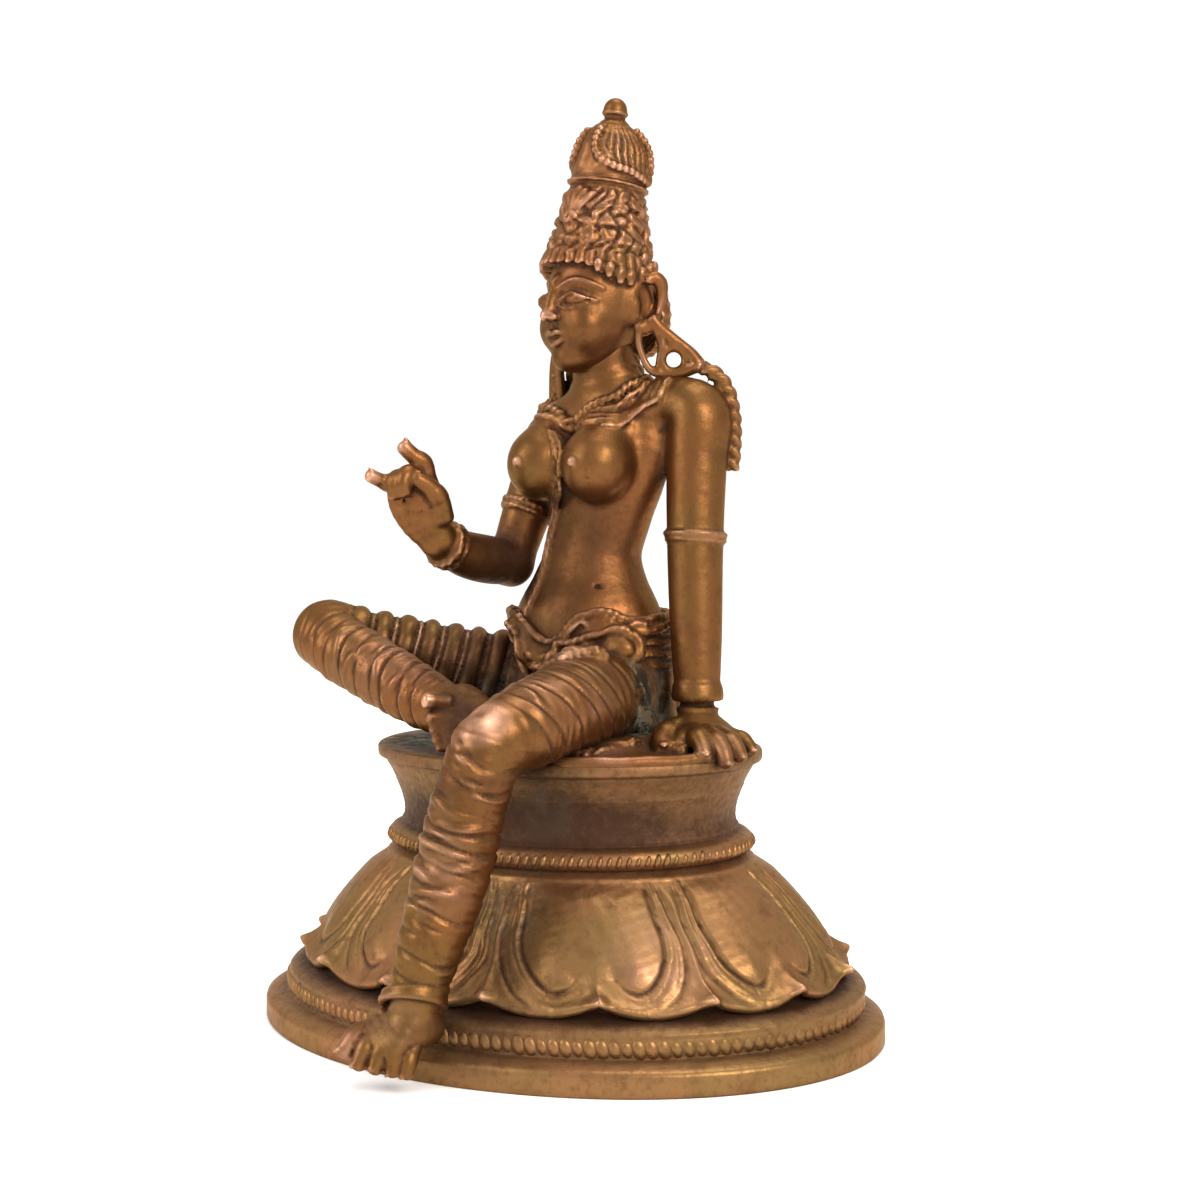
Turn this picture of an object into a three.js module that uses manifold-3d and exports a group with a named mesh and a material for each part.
// Small cast figure of a seated goddess on an oval lotus pedestal.
// Millimetres, +Z up. The figure looks towards -Y, its left hand is on the +X side.
// The origin is the middle of the pedestal's underside.

import * as THREE from 'three';
import { mergeVertices } from 'three/addons/utils/BufferGeometryUtils.js';
import Module from 'manifold-3d';

const wasm = await Module();
wasm.setup();

// Pedestal: half widths along X. Depths are a share of the widths.
const DEPTH_TO_WIDTH = 0.757;
const BASE_HALF_WIDTH = 41.5;
const MILLED_HALF_WIDTH = 39.2;
const HOLLOW_HALF_WIDTH = 34.4;
const PETAL_HALF_WIDTH = 36.2;
const DOME_TOP_HALF_WIDTH = 23.4;
const ROPE_HALF_WIDTH = 24.3;
const NECK_HALF_WIDTH = 22.2;
const RIM_HALF_WIDTH = 25.75;

// Pedestal: heights of its members, from the ground up
const FOOT_HEIGHT = 3.2;
const MILLED_HEIGHT = 3.7;
const HOLLOW_HEIGHT = 2.0;
const DOME_HEIGHT = 13.0;
const ROPE_HEIGHT = 2.6;
const NECK_HEIGHT = 7.0;
const RIM_HEIGHT = 2.65;

// Pedestal: edges and carving
const ARRIS = 0.5;
const FILLET = 0.9;
const COLUMNS = 36;
const ROPE_NOTCHES = 26;
const ROPE_NOTCH_DEPTH = 0.4;
const SEAT_SHIFT = { x: 0.5, y: 0.4 };

// Petals
const PETALS = 8;
const PETAL_TURN = THREE.MathUtils.degToRad(-7.4);
const PETAL_SHELL = 0.55;
const PETAL_CROWNING = 0.7;
const PETAL_GROOVE = 0.5;
const DOME_BULGE = 1.0;
const TIP_PULL = 0.6;
const SECOND_TIP_PULL = 0.3;
const LOBE_DROP = 0.9;

// Figure: from the seat to the top of the crown, and its gaps to the pedestal and the ground
const FIGURE_HEIGHT = 78.05;
const FIT_CLEARANCE = 0.3;
const GROUND_CLEARANCE = 0.3;

// The points of the figure are drawn with the pedestal as it stands, and their scale is set
// at the end. The hip cloth's rows are [height, half width, half depth], from the seat up.
const HIP_CLOTH_MIDDLE = { x: 2.2, y: 4.5 };
const HIP_CLOTH_ROWS = [[34.15, 11.4, 9.2], [41.0, 11.4, 9.3], [45.6, 11.2, 8.7]];
const HIP_PLEATS = 11;
const HIP_PLEAT_DEPTH = 0.7;
const CLOTH_THICKNESS = 0.8;
const CLOTH_END = [
  [8.0, -16.6], [14.0, -15.6], [19.4, -11.8], [22.4, -7.0], [20.0, -2.6], [12.0, 2.0], [8.0, -4.0],
];
const FOLD_CREST = 0.45;
const FOLD_DEPTH = 0.5;
const BANGLE_THICKNESS = 0.55;
const ARMLET_AT = 0.57;
const WHEEL_RADIUS = 5.0;
const WHEEL_THICKNESS = 1.6;
const TASSEL_NOTCHES = 9;
const FLUTES = 8;
const GARLANDS = 4;

const milledTop = FOOT_HEIGHT + MILLED_HEIGHT;
const petalTip = milledTop + HOLLOW_HEIGHT;
const domeTop = petalTip + DOME_HEIGHT;
const ropeTop = domeTop + ROPE_HEIGHT;
const rimLow = ropeTop + NECK_HEIGHT;
const seatHeight = rimLow + RIM_HEIGHT;
const drawnSeat = HIP_CLOTH_ROWS[0][0];

const UP = [0, 0, 1];
const LEFT = [1, 0, 0];
const FRONT = [0, -1, 0];
const vec = (p) => new THREE.Vector3(p[0], p[1], p[2]);
const mix = THREE.MathUtils.lerp;

// A closed solid from a geometry, of which only the shared positions are kept
function solid(geometry) {
  const bare = geometry.clone();
  bare.deleteAttribute('normal');
  bare.deleteAttribute('uv');
  const merged = mergeVertices(bare, 1e-4);
  const vertProperties = new Float32Array(merged.attributes.position.array);
  const triVerts = new Uint32Array(merged.index.array);
  return new wasm.Manifold(new wasm.Mesh({ numProp: 3, vertProperties, triVerts }));
}

function geometryOf(manifold) {
  const mesh = manifold.getMesh();
  const geometry = new THREE.BufferGeometry();
  geometry.setAttribute('position', new THREE.BufferAttribute(mesh.vertProperties, 3));
  geometry.setIndex(new THREE.BufferAttribute(mesh.triVerts, 1));
  return geometry;
}

function join(solids) {
  return solids.reduce((sum, next) => sum.add(next));
}

// Skin over rings of points. A looped skin joins its last ring to its first, an open one
// ends in a point at each end.
function skin(rings, { looped = false, first, last } = {}) {
  const count = rings[0].length;
  const positions = rings.flat().flatMap((p) => [p.x, p.y, p.z]);
  const index = [];
  const bands = looped ? rings.length : rings.length - 1;
  for (let r = 0; r < bands; r += 1) {
    const low = r * count;
    const high = ((r + 1) % rings.length) * count;
    for (let k = 0; k < count; k += 1) {
      const next = (k + 1) % count;
      index.push(low + k, low + next, high + next, low + k, high + next, high + k);
    }
  }
  if (!looped) {
    const start = positions.length / 3;
    positions.push(first.x, first.y, first.z, last.x, last.y, last.z);
    const top = (rings.length - 1) * count;
    for (let k = 0; k < count; k += 1) {
      const next = (k + 1) % count;
      index.push(start, next, k, start + 1, top + k, top + next);
    }
  }
  const geometry = new THREE.BufferGeometry();
  geometry.setAttribute('position', new THREE.Float32BufferAttribute(positions, 3));
  geometry.setIndex(index);
  const made = solid(geometry);
  if (made.volume() > 0) return made;
  geometry.setIndex(index.reverse());
  return solid(geometry);
}

// Cross-section directions along a route: the wide one follows a given direction
function crossAxes(tangent, wide) {
  const side = vec(wide).addScaledVector(tangent, -tangent.dot(vec(wide))).normalize();
  const rise = new THREE.Vector3().crossVectors(tangent, side).normalize();
  return { side, rise };
}

function between(list, at) {
  const spot = THREE.MathUtils.clamp(at, 0, 1) * (list.length - 1);
  const low = Math.min(Math.floor(spot), list.length - 2);
  return mix(list[low], list[low + 1], spot - low);
}

// Where a limb has its rings, each with its swell. Folds are wrapped rings of cloth, each
// a swell between two creases. Bands are raised rings, such as a bangle.
function limbSpots({ rings, folds, bands }) {
  let spots = Array.from({ length: rings }, (_, k) => [k / (rings - 1), 0]);
  if (folds > 0) {
    const crests = Array.from({ length: folds }, (_, k) => [[k / folds, 0], [(k + FOLD_CREST) / folds, FOLD_DEPTH]]);
    spots = crests.flat();
    spots.push([1, 0]);
  }
  for (const { at, half, swell } of bands) {
    spots = spots.filter(([spot]) => Math.abs(spot - at) > half * 1.5);
    spots.push([at - half, 0], [at - half * 0.4, swell], [at + half * 0.4, swell], [at + half, 0]);
  }
  return spots.sort((one, two) => one[0] - two[0]);
}

// A limb: stations [x, y, z, half width, half thickness] joined by a smooth skin with
// rounded ends
function limb(stations, options = {}) {
  const { sides = 8, wide = LEFT, rings = stations.length + 2, folds = 0, bands = [] } = options;
  const { cap = 0.7, tilt = [0, 0] } = options;
  const route = new THREE.CatmullRomCurve3(stations.map(vec), false, 'centripetal');
  const widths = stations.map((s) => s[3]);
  const thicknesses = stations.map((s) => s[4] ?? s[3]);
  const ringAt = (at, swell, shrink, push) => {
    const tangent = route.getTangent(at).normalize();
    const { side, rise } = crossAxes(tangent, wide);
    const half = (between(widths, at) + swell) * shrink;
    const thick = (between(thicknesses, at) + swell) * shrink;
    return Array.from({ length: sides }, (_, k) => {
      const turn = (2 * Math.PI * (k + 0.5)) / sides;
      const along = push + (push === 0 ? tilt[0] * Math.cos(turn) + tilt[1] * Math.sin(turn) : 0);
      return route
        .getPoint(at)
        .addScaledVector(side, half * Math.cos(turn))
        .addScaledVector(rise, thick * Math.sin(turn))
        .addScaledVector(tangent, along);
    });
  };
  const skinRings = limbSpots({ rings, folds, bands }).map(([at, swell]) => ringAt(at, swell, 1, 0));
  const startCap = cap * Math.min(widths[0], thicknesses[0]) + Math.hypot(...tilt);
  const endCap = cap * Math.min(widths.at(-1), thicknesses.at(-1)) + Math.hypot(...tilt);
  if (sides > 6) {
    skinRings.unshift(ringAt(0, 0, 0.7, -0.7 * startCap));
    skinRings.push(ringAt(1, 0, 0.7, 0.7 * endCap));
  }
  const first = route.getPoint(0).addScaledVector(route.getTangent(0).normalize(), -startCap);
  const last = route.getPoint(1).addScaledVector(route.getTangent(1).normalize(), endCap);
  return skin(skinRings, { first, last });
}

// A cord, strip or strand of even section along a smooth route
function strand(points, radius, { sides = 3, steps = points.length * 2 } = {}) {
  const section = new THREE.Shape();
  section.absarc(0, 0, radius, 0, 2 * Math.PI);
  const outline = new THREE.Shape(section.getSpacedPoints(sides).slice(0, sides));
  const route = new THREE.CatmullRomCurve3(points.map(vec), false, 'centripetal');
  return solid(new THREE.ExtrudeGeometry(outline, { steps, extrudePath: route, bevelEnabled: false }));
}

// A closed ring around the body or a limb, in a tilted plane
function hoop(centre, axis, halfWide, halfDeep, radius, options = {}) {
  const { steps = 12, sides = 3 } = options;
  const normal = vec(axis).normalize();
  const { side, rise } = crossAxes(normal, LEFT);
  const rings = Array.from({ length: steps }, (_, k) => {
    const turn = (2 * Math.PI * k) / steps;
    const outward = side.clone().multiplyScalar(Math.cos(turn)).addScaledVector(rise, Math.sin(turn));
    const middle = vec(centre)
      .addScaledVector(side, halfWide * Math.cos(turn))
      .addScaledVector(rise, halfDeep * Math.sin(turn));
    return Array.from({ length: sides }, (_unused, j) => {
      const roll = (2 * Math.PI * j) / sides;
      return middle
        .clone()
        .addScaledVector(outward, radius * Math.cos(roll))
        .addScaledVector(normal, radius * Math.sin(roll));
    });
  });
  return skin(rings, { looped: true });
}

function ball(centre, radii, [across, high] = [6, 4]) {
  const [rx, ry, rz] = Array.isArray(radii) ? radii : [radii, radii, radii];
  const geometry = new THREE.SphereGeometry(1, across, high);
  geometry.rotateX(Math.PI / 2);
  geometry.scale(rx, ry, rz);
  geometry.translate(...centre);
  return solid(geometry);
}

// The upper pedestal stands a little off the middle of its foot: a point of the round
// form drawn at a height moves across by its share of that shift
function ovalPoint(radius, turn, z) {
  const share = THREE.MathUtils.clamp((z - FOOT_HEIGHT) / MILLED_HEIGHT, 0, 1);
  const x = radius * Math.cos(turn) + SEAT_SHIFT.x * share;
  const y = radius * Math.sin(turn) * DEPTH_TO_WIDTH + SEAT_SHIFT.y * share;
  return new THREE.Vector3(x, y, z);
}

// An oval turned form from a profile of [half width, height], from the bottom up
function turned(profile) {
  const lathe = new THREE.LatheGeometry([
    new THREE.Vector2(0, profile[0][1]),
    ...profile.map(([r, z]) => new THREE.Vector2(r, z)),
    new THREE.Vector2(0, profile.at(-1)[1]),
  ], COLUMNS);
  const spots = lathe.attributes.position;
  for (let i = 0; i < spots.count; i += 1) {
    const radius = Math.hypot(spots.getX(i), spots.getZ(i));
    const turn = Math.atan2(spots.getX(i), spots.getZ(i));
    const moved = ovalPoint(radius, turn, spots.getY(i));
    spots.setXYZ(i, moved.x, moved.y, moved.z);
  }
  return solid(lathe);
}

function pedestalProfile() {
  return [
    [BASE_HALF_WIDTH - 0.3 * ARRIS, 0],
    [BASE_HALF_WIDTH, 0.3 * ARRIS],
    [BASE_HALF_WIDTH, FOOT_HEIGHT - ARRIS],
    [BASE_HALF_WIDTH - ARRIS, FOOT_HEIGHT],
    [MILLED_HALF_WIDTH - 2 * ARRIS, FOOT_HEIGHT + 0.2],
    [MILLED_HALF_WIDTH, FOOT_HEIGHT + FILLET],
    [MILLED_HALF_WIDTH - 0.3, milledTop - FILLET],
    [MILLED_HALF_WIDTH - 3 * ARRIS, milledTop],
    [HOLLOW_HALF_WIDTH, milledTop + FILLET],
    [HOLLOW_HALF_WIDTH - FILLET, petalTip + 1.6],
    [NECK_HALF_WIDTH, petalTip + 0.6 * DOME_HEIGHT],
    [NECK_HALF_WIDTH, ropeTop + 0.3 * NECK_HEIGHT],
    [mix(NECK_HALF_WIDTH, RIM_HALF_WIDTH, 0.25), ropeTop + 0.6 * NECK_HEIGHT],
    [RIM_HALF_WIDTH - 1.1, rimLow - 0.4],
    [RIM_HALF_WIDTH - 0.1, rimLow],
    [RIM_HALF_WIDTH, seatHeight - ARRIS],
    [RIM_HALF_WIDTH - ARRIS, seatHeight],
  ];
}

// The space that the figure keeps clear of: the pedestal with its petals, grown all round
function clearanceProfile() {
  const grow = FIT_CLEARANCE;
  const domeAt = (share) => mix(DOME_TOP_HALF_WIDTH, PETAL_HALF_WIDTH, share) + DOME_BULGE + PETAL_CROWNING;
  return [
    [BASE_HALF_WIDTH + grow, -grow],
    [BASE_HALF_WIDTH + grow, FOOT_HEIGHT + grow],
    [MILLED_HALF_WIDTH + 2 * grow, FOOT_HEIGHT + 2 * grow],
    [MILLED_HALF_WIDTH + grow, milledTop + grow],
    [PETAL_HALF_WIDTH + TIP_PULL + grow, petalTip - LOBE_DROP - grow],
    [PETAL_HALF_WIDTH + TIP_PULL + grow, petalTip + 2 * grow],
    [domeAt(0.72) + grow, petalTip + 0.28 * DOME_HEIGHT],
    [domeAt(0.35) + grow, petalTip + 0.65 * DOME_HEIGHT],
    [ROPE_HALF_WIDTH + grow, domeTop],
    [ROPE_HALF_WIDTH + grow, ropeTop],
    [NECK_HALF_WIDTH + 2 * grow, ropeTop + 0.3 * NECK_HEIGHT],
    [RIM_HALF_WIDTH + grow, rimLow - grow],
    [RIM_HALF_WIDTH + grow, seatHeight + grow],
  ];
}

// A ring round the pedestal whose outer edge is notched like a rope. Rows are [half width,
// height, share of the notch], and the notches lean along the ring as they rise.
function notchedRing(rows, notches, depth, lean) {
  const columns = notches * 2;
  const low = rows[0][1];
  const high = rows.at(-1)[1];
  const rings = Array.from({ length: columns }, (_, k) => rows.map(([radius, z, carved]) => {
    const turn = (2 * Math.PI * (k + (lean * (z - low)) / (high - low))) / columns;
    return ovalPoint(radius - carved * depth * (k % 2), turn, z);
  }));
  return skin(rings, { looped: true });
}

// Lotus petals: columns at the places where each petal changes, as shares of its half
// width from its middle. Each column runs down the dome and back under the hanging edge.
const PETAL_COLUMNS = [-1, -0.83, -0.68, -0.53, -0.28, 0, 0.28, 0.53, 0.68, 0.83];
const PETAL_ROWS = [0, 0.3, 0.6, 0.85];

function petalRelief(across, down) {
  const side = Math.abs(across);
  if (side < 0.5) {
    const hearted = down > 0.8 && side > 0.1;
    const crowned = PETAL_CROWNING * Math.sin(Math.PI * down) * (1 - side * side);
    return hearted ? PETAL_SHELL - PETAL_GROOVE : PETAL_SHELL + crowned;
  }
  if (side < 0.6) return PETAL_SHELL - PETAL_GROOVE;
  if (side < 0.75) return PETAL_SHELL;
  if (side < 0.9) return PETAL_SHELL - PETAL_GROOVE;
  return PETAL_SHELL * 0.6;
}

function petalEdge(across) {
  const side = Math.abs(across);
  if (side < 0.1) return [TIP_PULL, 0.5];
  if (side < 0.75) return [0.1, 0.3 - LOBE_DROP * Math.sin((Math.PI * side) / 0.8)];
  if (side < 0.9) return [-0.2, 0.4];
  return [SECOND_TIP_PULL, 0.2];
}

function domeRadius(share) {
  const bulge = DOME_BULGE * Math.sin(Math.PI * share ** 0.7);
  return mix(DOME_TOP_HALF_WIDTH, PETAL_HALF_WIDTH, share) + bulge - PETAL_SHELL;
}

function petals() {
  const rings = [];
  for (let petal = 0; petal < PETALS; petal += 1) {
    for (const across of PETAL_COLUMNS) {
      const turn = PETAL_TURN + ((petal + across / 2) * 2 * Math.PI) / PETALS;
      const [pull, rise] = petalEdge(across);
      const edge = PETAL_HALF_WIDTH + pull;
      const onDome = (share) => (
        ovalPoint(domeRadius(share) + petalRelief(across, share), turn, domeTop - share * DOME_HEIGHT)
      );
      rings.push([
        ovalPoint(NECK_HALF_WIDTH - FILLET, turn, petalTip + 0.4 * DOME_HEIGHT),
        ovalPoint(NECK_HALF_WIDTH - FILLET, turn, domeTop + ARRIS),
        ...PETAL_ROWS.map(onDome),
        ovalPoint(edge, turn, petalTip + rise + 0.4),
        ovalPoint(edge - 0.4, turn, petalTip + rise - 0.2),
      ]);
    }
  }
  return skin(rings, { looped: true });
}

function makePedestal() {
  const rope = notchedRing([
    [NECK_HALF_WIDTH - ARRIS, domeTop + 0.1 * ROPE_HEIGHT, 0],
    [ROPE_HALF_WIDTH, domeTop + 0.45 * ROPE_HEIGHT, 1],
    [ROPE_HALF_WIDTH, domeTop + 0.85 * ROPE_HEIGHT, 1],
    [NECK_HALF_WIDTH - ARRIS, ropeTop + 0.05 * ROPE_HEIGHT, 0],
  ], ROPE_NOTCHES, ROPE_NOTCH_DEPTH, 1);
  return join([turned(pedestalProfile()), petals(), rope]);
}

function body() {
  const trunk = limb([
    [2.2, 4.6, 40.0, 10.6, 8.2],
    [2.0, 3.9, 44.0, 10.9, 8.6],
    [2.0, 3.4, 48.0, 10.0, 7.9],
    [2.1, 3.5, 52.0, 7.9, 6.6],
    [2.5, 3.9, 57.0, 6.0, 5.1],
    [3.1, 4.5, 62.0, 6.6, 5.0],
    [3.5, 4.8, 67.0, 8.6, 5.2],
    [4.1, 5.2, 71.5, 9.4, 4.7],
    [4.2, 5.3, 74.3, 8.2, 3.8],
    [4.1, 5.2, 76.6, 4.8, 3.2],
  ], { sides: 12, rings: 10, cap: 0.25 });
  const breasts = [[7.0, -0.9, 67.9], [-1.4, -1.0, 68.2]].flatMap((c) => [
    ball(c, [4.5, 4.5, 4.7], [10, 6]),
    ball([c[0] - 0.2, c[1] - 4.4, c[2] + 0.4], 0.8, [5, 3]),
  ]);
  const neck = limb([[4.2, 5.0, 75.0, 4.0, 3.6], [4.2, 4.6, 80.6, 3.8, 3.5]], { rings: 2 });
  return [trunk, ...breasts, neck];
}

// Two necklaces, a body thread, two hip bands with a knot, a sash over the left thigh and
// the pleated cloth below them
function ornaments() {
  return [
    hoop([3.9, 4.9, 75.7], [0, -0.3, 1], 5.0, 3.9, 0.6, { steps: 10 }),
    hoop([4.4, 4.7, 74.4], [-0.1, -0.35, 1], 8.0, 4.5, 0.65, { steps: 12 }),
    strand([
      [1.0, -1.0, 71.8], [2.2, -2.2, 68.0], [0.8, -2.2, 65.4], [-0.9, -0.3, 62.6], [-1.7, 0.2, 59.4],
      [-1.3, -1.2, 56.0], [-0.8, -3.0, 52.6], [-1.6, -4.0, 49.2],
    ], 0.7, { steps: 7 }),
    strand([
      [-8.8, 5.0, 49.2], [-6.6, -0.4, 49.4], [-3.3, -3.0, 48.6], [-0.8, -4.3, 46.9], [2.2, -4.9, 46.1],
      [4.6, -4.5, 47.0], [6.3, -3.6, 49.2], [7.8, -2.3, 50.2], [9.7, -0.6, 49.7], [11.2, 2.0, 48.8],
      [11.4, 5.4, 48.6], [8.9, 9.8, 48.6], [2.2, 11.9, 48.6], [-5.2, 9.9, 48.8], [-8.8, 5.0, 49.2],
    ], 0.95, { steps: 16 }),
    strand([
      [-5.4, -2.2, 47.4], [-4.4, -3.2, 46.0], [-1.8, -4.6, 44.4], [1.3, -5.4, 43.7], [4.4, -5.8, 44.6],
      [6.8, -5.0, 46.4], [8.4, -3.4, 47.9], [10.2, -1.4, 47.9], [12.4, -0.6, 46.6], [13.2, 3.0, 46.2],
      [12.2, 6.6, 46.0], [9.2, 10.6, 45.8], [2.2, 12.6, 45.8], [-5.4, 10.6, 46.0],
    ], 0.95, { steps: 14 }),
    ball([12.5, -1.4, 46.6], [1.6, 1.5, 1.5]),
    strand([
      [3.6, -6.6, 42.6], [6.4, -9.4, 44.2], [9.3, -9.6, 45.5], [12.2, -6.8, 46.0], [13.8, -4.2, 45.3],
      [13.6, -1.0, 45.6],
    ], 1.2, { steps: 6 }),
    hipCloth(),
  ];
}

// The pleated cloth round the hips, from the lower hip band to the seat
function hipCloth() {
  const { x, y } = HIP_CLOTH_MIDDLE;
  const columns = Array.from({ length: HIP_PLEATS * 2 }, (_, k) => k);
  const rings = HIP_CLOTH_ROWS.map(([z, halfWidth, halfDepth]) => columns.map((k) => {
    const turn = (Math.PI * k) / HIP_PLEATS;
    const pleat = HIP_PLEAT_DEPTH * (k % 2);
    return vec([x + (halfWidth - pleat) * Math.cos(turn), y + (halfDepth - pleat) * Math.sin(turn), z]);
  }));
  return skin(rings, { first: vec([x, y, drawnSeat]), last: vec([x, y, HIP_CLOTH_ROWS.at(-1)[0] + 1]) });
}

// The end of the cloth lies flat on the seat between the left thigh and the left hand
function seatCloth() {
  const outline = new THREE.Shape(CLOTH_END.map(([x, y]) => new THREE.Vector2(x, y)));
  const depth = CLOTH_THICKNESS + FIT_CLEARANCE;
  const cloth = new THREE.ExtrudeGeometry(outline, { depth, bevelEnabled: false });
  cloth.translate(0, 0, drawnSeat);
  return solid(cloth);
}

// Head, turned a little to the figure's right. The face is a plain, calm one on even
// proportions, with lids, nose and lips as simple forms.
const HEAD = [3.5, 4.2, 86.6];
const HEAD_TURN = THREE.MathUtils.degToRad(-15);
const ACROSS_HEAD = [Math.cos(HEAD_TURN), Math.sin(HEAD_TURN), 0];

function onHead(across, forward, rise) {
  const c = Math.cos(HEAD_TURN);
  const s = Math.sin(HEAD_TURN);
  return [HEAD[0] + across * c + forward * s, HEAD[1] + across * s - forward * c, HEAD[2] + rise];
}

function head() {
  const skull = limb([
    [...onHead(0, 2.2, -7.2), 2.6, 3.7],
    [...onHead(0, 1.6, -5.2), 4.4, 5.2],
    [...onHead(0, 0.9, -1.5), 5.8, 6.4],
    [...onHead(0, 0.5, 2.5), 6.1, 6.8],
    [...onHead(0, 0.2, 6.5), 5.8, 6.5],
  ], { sides: 12, rings: 6, wide: ACROSS_HEAD, cap: 0.3 });
  const nose = limb([[...onHead(0, 6.8, 2.6), 0.6], [...onHead(0, 7.6, -1.0), 1.0, 0.9]],
    { sides: 5, rings: 2, wide: ACROSS_HEAD });
  const lips = limb([
    [...onHead(-1.6, 6.1, -3.6), 0.4], [...onHead(0, 6.7, -3.7), 0.8], [...onHead(1.6, 6.1, -3.6), 0.4],
  ], { sides: 5, rings: 3, wide: UP });
  const sides = [-1, 1].flatMap((s) => [
    ball(onHead(2.7 * s, 6.0, 1.1), [1.4, 0.9, 0.6], [5, 3]),
    limb([[...onHead(6.2 * s, -0.6, 3.6), 0.7, 1.3], [...onHead(6.9 * s, -0.6, 0.5), 0.8, 1.6],
      [...onHead(7.0 * s, -0.5, -2.6), 0.7, 1.1]], { sides: 6, rings: 3, wide: ACROSS_HEAD }),
  ]);
  const wheel = new THREE.CylinderGeometry(WHEEL_RADIUS, WHEEL_RADIUS, WHEEL_THICKNESS, 12);
  wheel.rotateZ(HEAD_TURN);
  wheel.translate(...onHead(0, -6.6, -0.6));
  return [skull, nose, lips, ...sides, solid(wheel)];
}

// Tall crown: a fringe of curls, a carved cone with plaques, a plain ring, a fluted dome
// with garlands, and a knob. Rows are [share of the way up, radius, depth of the carving].
const CROWN_AXIS = [[3.2, 4.7, 91.5], [3.6, 5.2, 97.5], [4.4, 6.0, 103.4], [4.7, 6.4, 109.4]];
const CROWN_ROWS = [
  [-0.14, 6.4, 0.7], [-0.04, 7.1, 0.7], [0.05, 7.0, 0.4], [0.08, 6.2, 0], [0.13, 6.6, 0], [0.17, 5.9, 0],
  [0.25, 5.9, 0.6], [0.33, 5.6, 0.3], [0.39, 4.9, 0], [0.51, 4.8, 0], [0.53, 5.1, 0], [0.57, 5.1, 0],
  [0.6, 4.7, 0.2], [0.74, 4.9, 0.4], [0.88, 3.9, 0.3], [0.98, 1.9, 0],
];

function crownPoint(share, radius, turn) {
  const height = THREE.MathUtils.clamp(share, 0, 1);
  const middle = new THREE.Vector3(...[0, 1, 2].map((k) => between(CROWN_AXIS.map((p) => p[k]), height)));
  const axis = vec(CROWN_AXIS.at(-1)).sub(vec(CROWN_AXIS[0]));
  middle.addScaledVector(axis, share - height);
  const { side, rise } = crossAxes(axis.normalize(), ACROSS_HEAD);
  return middle.addScaledVector(side, radius * Math.cos(turn)).addScaledVector(rise, radius * Math.sin(turn));
}

function crownRadius(share) {
  const above = Math.max(1, CROWN_ROWS.findIndex(([s]) => s >= share));
  const [lowShare, lowRadius] = CROWN_ROWS[above - 1];
  const [highShare, highRadius] = CROWN_ROWS[above];
  return THREE.MathUtils.mapLinear(share, lowShare, highShare, lowRadius, highRadius);
}

function crown() {
  const columns = FLUTES * 2;
  const rings = CROWN_ROWS.map(([share, radius, carved]) => Array.from({ length: columns }, (_, k) => (
    crownPoint(share, radius - carved * (k % 2), (2 * Math.PI * k) / columns)
  )));
  const form = skin(rings, { first: crownPoint(-0.2, 0, 0), last: crownPoint(1.02, 0, 0) });
  const garlands = Array.from({ length: GARLANDS }, (_, k) => {
    const middle = (2 * Math.PI * (k + 0.5)) / GARLANDS;
    const spots = [[-0.6, 0.84], [-0.45, 0.68], [0, 0.63], [0.45, 0.68], [0.6, 0.84]];
    const route = spots.map(([sway, share]) => crownPoint(share, crownRadius(share), middle + sway).toArray());
    return strand(route, 0.6, { steps: 4 });
  });
  const knobRows = [[0.97, 1.1], [1.03, 1.0], [1.07, 1.4], [1.11, 1.2]];
  const knobStations = knobRows.map(([share, radius]) => [...crownPoint(share, 0, 0).toArray(), radius]);
  const knob = limb(knobStations, { sides: 6, rings: 4 });
  return [form, ...garlands, knob];
}

// Looped ear straps that reach down to the shoulders
function earStraps() {
  return [
    strand([
      [10.6, 4.6, 84.0], [10.0, 4.2, 81.4], [10.8, 4.8, 79.2], [12.6, 6.2, 78.0], [14.4, 7.5, 78.2],
    ], 0.6, { steps: 6 }),
    strand([[11.1, 5.4, 84.0], [12.6, 6.3, 83.0], [14.2, 7.6, 81.2], [15.8, 8.6, 79.0]], 0.65, { steps: 4 }),
    strand([[11.2, 5.2, 83.6], [11.9, 5.6, 81.6], [11.8, 5.6, 79.0]], 0.5, { steps: 3 }),
    hoop([12.9, 6.4, 80.4], [0.643, -0.766, 0], 1.5, 1.5, 0.5, { steps: 8 }),
    strand([[-3.2, 5.8, 84.0], [-3.6, 5.2, 81.4], [-3.6, 5.4, 76.0]], 0.6, { steps: 3 }),
    strand([[-3.6, 6.6, 84.0], [-5.2, 6.6, 81.6], [-6.0, 6.8, 75.6]], 0.7, { steps: 3 }),
  ];
}

// Notched tassel strips that fall behind each shoulder
function tassels() {
  const notched = { sides: 4, folds: TASSEL_NOTCHES };
  return [
    limb([[15.4, 8.0, 79.2, 0.9, 0.7], [17.5, 9.1, 78.6, 0.9, 0.7], [19.2, 10.0, 76.2, 0.9, 0.7],
      [19.6, 10.3, 72.4, 0.9, 0.7], [19.4, 10.1, 67.4, 0.8, 0.6]], notched),
    limb([[-3.4, 8.0, 76.2, 0.9, 0.7], [-6.0, 9.6, 74.8, 0.9, 0.7], [-8.0, 9.8, 71.8, 0.9, 0.7],
      [-9.2, 8.6, 68.0, 0.9, 0.7], [-9.8, 7.4, 64.4, 0.8, 0.6]], notched),
  ];
}

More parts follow.
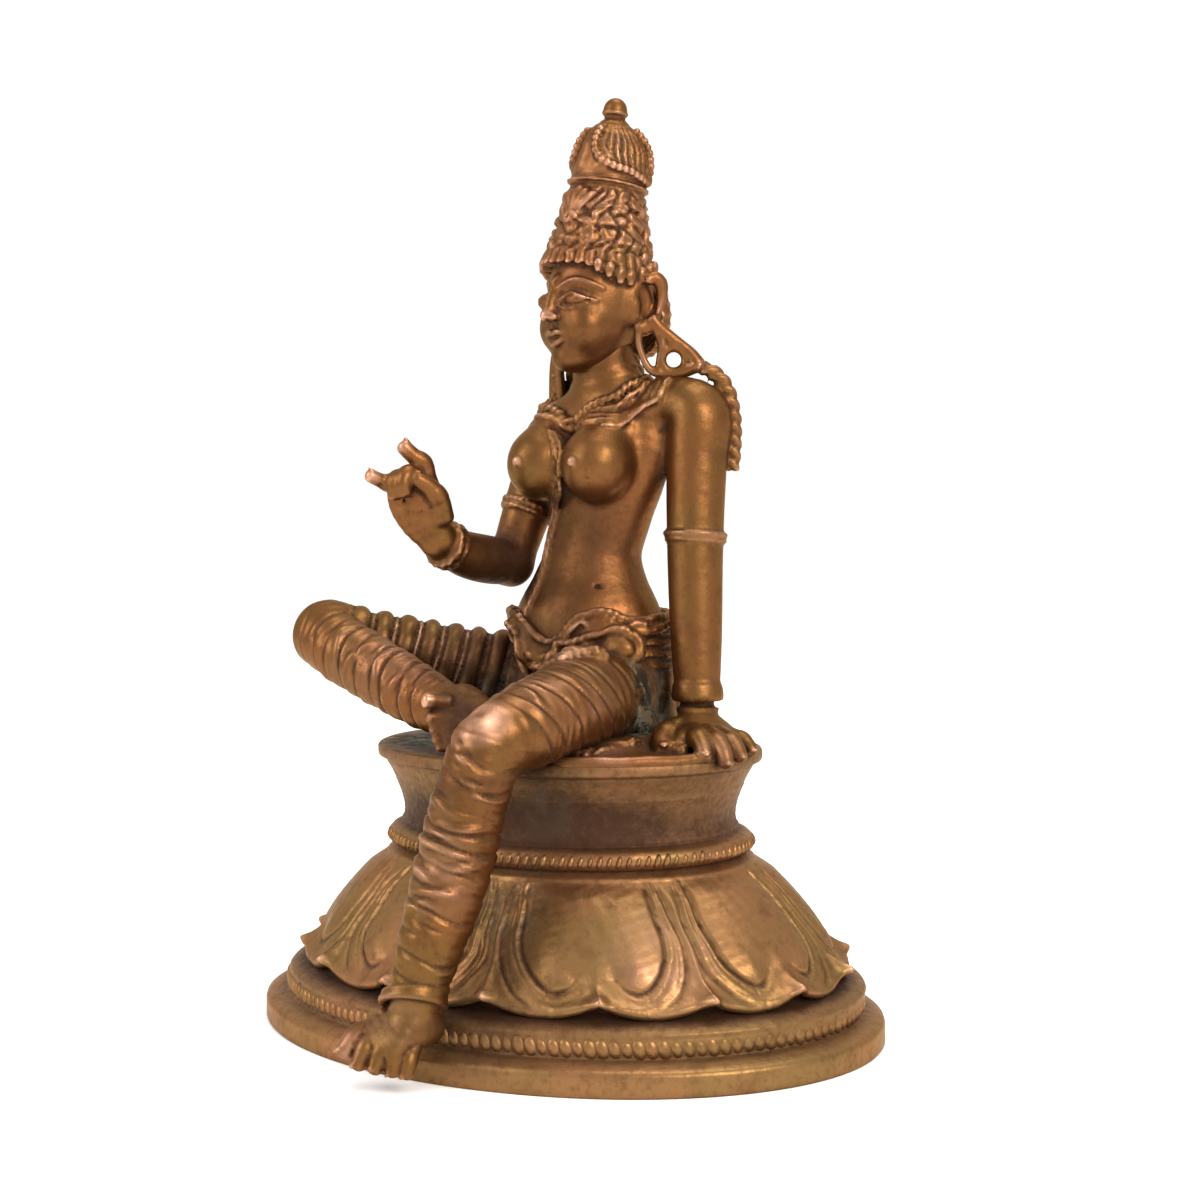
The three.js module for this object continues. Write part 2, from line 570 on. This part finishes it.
function leftArm() {
  const arm = limb([
    [9.4, 5.8, 75.0, 2.8, 2.8],
    [12.6, 6.7, 75.2, 3.3, 3.2],
    [15.9, 7.2, 74.2, 3.9, 3.7],
    [16.3, 6.6, 69.0, 3.7, 3.6],
    [16.6, 5.8, 62.5, 3.5, 3.5],
    [16.9, 5.2, 56.5, 3.3, 3.3],
    [17.5, 4.4, 47.5, 3.1, 3.1],
    [18.0, 3.8, 41.5, 2.4, 2.4],
    [18.2, 3.4, 37.8, 1.9, 1.9],
  ], {
    rings: 8,
    wide: FRONT,
    bands: [{ at: ARMLET_AT, half: 0.016, swell: 0.4 }, { at: 0.9, half: 0.02, swell: BANGLE_THICKNESS }],
  });
  return [arm, ...spreadHand()];
}

// The left hand lies spread on the seat, its fingertips over the rim
function spreadHand() {
  const palm = limb([[18.3, 3.3, 38.0, 1.9, 1.8], [19.6, 1.7, 36.6, 2.9, 1.5], [21.0, 1.0, 36.0, 3.4, 1.1]],
    { rings: 3, wide: [0.66, 0.75, 0] });
  const fingers = [
    [[18.6, 1.2, 36.6, 1.1], [18.0, -1.6, 36.2, 1.1], [18.9, -4.2, 35.0, 0.9]],
    [[20.2, 0.6, 36.2, 0.95], [22.6, -2.2, 36.0, 0.9], [25.0, -4.8, 34.8, 0.8]],
    [[20.8, 1.2, 36.2, 0.95], [24.0, -0.8, 35.9, 0.9], [27.0, -2.8, 33.7, 0.8]],
    [[21.2, 2.4, 36.0, 0.9], [24.6, 1.2, 35.6, 0.85], [27.2, -0.4, 33.9, 0.75]],
    [[20.8, 3.8, 36.0, 0.85], [24.0, 3.3, 35.5, 0.8], [27.0, 2.2, 34.4, 0.7]],
  ];
  return [palm, ...fingers.map((route) => limb(route, { sides: 4, rings: 3 }))];
}

function rightArm() {
  const upper = limb([
    [-1.8, 5.9, 73.4, 3.2, 3.0], [-5.3, 6.6, 71.9, 3.6, 3.5], [-7.0, 5.2, 66.6, 3.4, 3.4],
    [-7.9, 3.4, 61.5, 3.1, 3.1], [-8.4, 1.5, 55.8, 3.0, 3.0],
  ], { rings: 6, wide: FRONT, bands: [{ at: 0.72, half: 0.03, swell: 0.45 }] });
  const fore = limb([
    [-8.3, 1.6, 56.2, 2.9, 2.9], [-8.4, -2.8, 56.6, 2.9, 2.9], [-8.3, -7.5, 57.4, 2.9, 2.9],
    [-8.1, -12.6, 59.2, 2.2, 2.2],
  ], {
    rings: 5,
    bands: [{ at: 0.86, half: 0.04, swell: BANGLE_THICKNESS }, { at: 0.95, half: 0.04, swell: BANGLE_THICKNESS }],
  });
  return [upper, fore, ...raisedHand()];
}

// The right hand is raised: first and little finger up, the others folded on the palm
function raisedHand() {
  const across = [0.766, 0.643, 0];
  const palm = limb([
    [-8.0, -12.8, 59.4, 2.1, 1.8], [-8.6, -15.0, 62.2, 3.1, 1.6], [-9.1, -16.0, 65.0, 3.2, 1.5],
    [-9.3, -16.2, 66.6, 2.7, 1.3],
  ], { rings: 4, wide: across });
  const fingers = [
    [[-7.4, -14.6, 66.4, 1.0], [-7.3, -15.0, 68.4, 0.95], [-8.2, -17.0, 70.1, 0.85]],
    [[-10.0, -17.0, 64.8, 0.85], [-10.2, -18.8, 66.0, 0.75], [-10.3, -21.2, 66.8, 0.7]],
    [[-8.3, -16.0, 67.2, 0.85], [-7.8, -18.2, 67.2, 0.85], [-7.6, -18.4, 64.9, 0.8]],
    [[-9.6, -16.6, 66.2, 0.85], [-9.1, -18.9, 66.2, 0.85], [-8.8, -18.9, 64.4, 0.8]],
    [[-6.0, -13.8, 62.4, 1.1], [-5.8, -14.8, 65.0, 1.0], [-6.8, -17.2, 66.6, 0.8]],
  ];
  return [palm, ...fingers.map((route) => limb(route, { sides: 4, rings: 3, wide: across }))];
}

// The right leg lies folded on the seat, wrapped in ringed cloth
function rightLeg() {
  const thigh = limb([
    [-1.5, 4.2, 41.4, 5.8, 5.6], [-6.5, 3.2, 42.0, 5.2, 5.0], [-12.0, 0.6, 43.0, 4.5, 4.4],
    [-18.6, -3.4, 44.5, 4.2, 4.2], [-25.1, -7.6, 46.1, 4.1, 4.1], [-28.9, -10.8, 47.2, 4.3, 4.2],
  ], { folds: 6, wide: UP });
  const shin = limb([
    [-29.8, -11.2, 47.3, 4.2, 3.8], [-25.5, -12.6, 46.0, 3.8, 3.6], [-19.5, -13.2, 43.8, 3.7, 3.5],
    [-12.5, -13.7, 41.3, 3.5, 3.4], [-6.4, -14.0, 39.3, 3.2, 3.1],
  ], { folds: 7, wide: UP });
  const foot = limb([
    [-3.2, -10.4, 37.6, 1.6, 2.9], [-3.2, -13.6, 37.9, 1.8, 3.4], [-3.2, -17.0, 37.8, 1.6, 3.3],
    [-3.0, -18.6, 37.6, 1.2, 3.0],
  ], { rings: 4 });
  const toes = [0, 1, 2, 3, 4].map((k) => {
    const drop = 1.55 * k;
    return limb([[-3.2 + 0.15 * k, -17.6, 40.8 - drop, 0.95 - 0.08 * k],
      [-3.3 + 0.25 * k, -20.0 + 0.3 * k, 41.0 - drop, 0.85 - 0.07 * k]], { sides: 4, rings: 2 });
  });
  return [thigh, shin, foot, ...toes];
}

// The left leg hangs over the rim down to the foot of the pedestal
function leftLeg() {
  const thigh = limb([
    [6.5, 5.0, 42.0, 6.4, 6.6], [8.6, -1.5, 41.4, 6.2, 6.2], [9.9, -9.0, 40.2, 5.6, 5.5],
    [10.4, -16.5, 39.0, 4.9, 4.8], [10.3, -23.4, 37.6, 4.3, 4.2],
  ], { folds: 6 });
  const shin = limb([
    [10.2, -24.8, 37.4, 3.9, 3.9], [9.7, -25.6, 34.6, 3.9, 3.9], [8.8, -26.3, 31.2, 4.0, 4.0],
    [7.8, -27.4, 25.3, 4.0, 4.1], [7.5, -29.0, 20.3, 3.8, 3.8], [6.8, -31.0, 15.4, 3.2, 3.2],
  ], { folds: 7, tilt: [0.7, 0] });
  const ankle = limb([
    [6.8, -31.0, 15.6, 2.9, 2.9], [6.2, -32.0, 12.2, 2.8, 2.8], [5.7, -32.8, 9.0, 2.9, 2.9],
    [5.9, -32.6, 7.0, 2.7, 2.8],
  ], { rings: 4, bands: [{ at: 0.74, half: 0.12, swell: 0.9 }], tilt: [0, 0.9] });
  const foot = limb([[6.2, -31.8, 6.6, 2.4, 2.2], [5.4, -34.6, 6.6, 2.8, 2.2], [4.0, -36.6, 5.6, 3.3, 1.5]],
    { rings: 3 });
  const toes = [
    [[2.4, -36.0, 5.6, 1.3], [0.2, -38.2, 4.3, 1.15]],
    [[3.6, -36.4, 5.2, 0.95], [2.4, -38.9, 3.2, 0.85]],
    [[4.6, -36.4, 4.9, 0.95], [4.2, -38.7, 2.6, 0.8]],
    [[5.6, -35.9, 4.6, 0.95], [5.8, -37.7, 2.2, 0.8]],
    [[6.4, -35.0, 4.4, 0.9], [7.0, -36.2, 1.8, 0.8]],
  ].map((route) => limb(route, { sides: 4, rings: 2 }));
  return [thigh, shin, ankle, foot, ...toes];
}

function makeFigure() {
  const drawn = join([
    ...body(), ...ornaments(), seatCloth(), ...head(), ...crown(), ...earStraps(), ...tassels(),
    ...leftArm(), ...rightArm(), ...rightLeg(), ...leftLeg(),
  ]);
  const size = FIGURE_HEIGHT / (drawn.boundingBox().max[2] - drawnSeat);
  const seated = drawn.translate([0, 0, -drawnSeat]).scale(size).translate([0, 0, seatHeight]);
  const ground = new THREE.BoxGeometry(4 * BASE_HALF_WIDTH, 4 * BASE_HALF_WIDTH, BASE_HALF_WIDTH);
  ground.translate(0, 0, GROUND_CLEARANCE - BASE_HALF_WIDTH / 2);
  return seated.subtract(turned(clearanceProfile())).subtract(solid(ground));
}

function named(manifold, name, color, roughness) {
  const material = new THREE.MeshStandardMaterial({ color, roughness, metalness: 1 });
  const mesh = new THREE.Mesh(geometryOf(manifold), material);
  mesh.name = name;
  return mesh;
}

const sculpture = new THREE.Group();
sculpture.add(named(makePedestal(), 'lotus_pedestal', 0x96683c, 0.45));
sculpture.add(named(makeFigure(), 'goddess_figure', 0x9a6a40, 0.42));
export default sculpture;
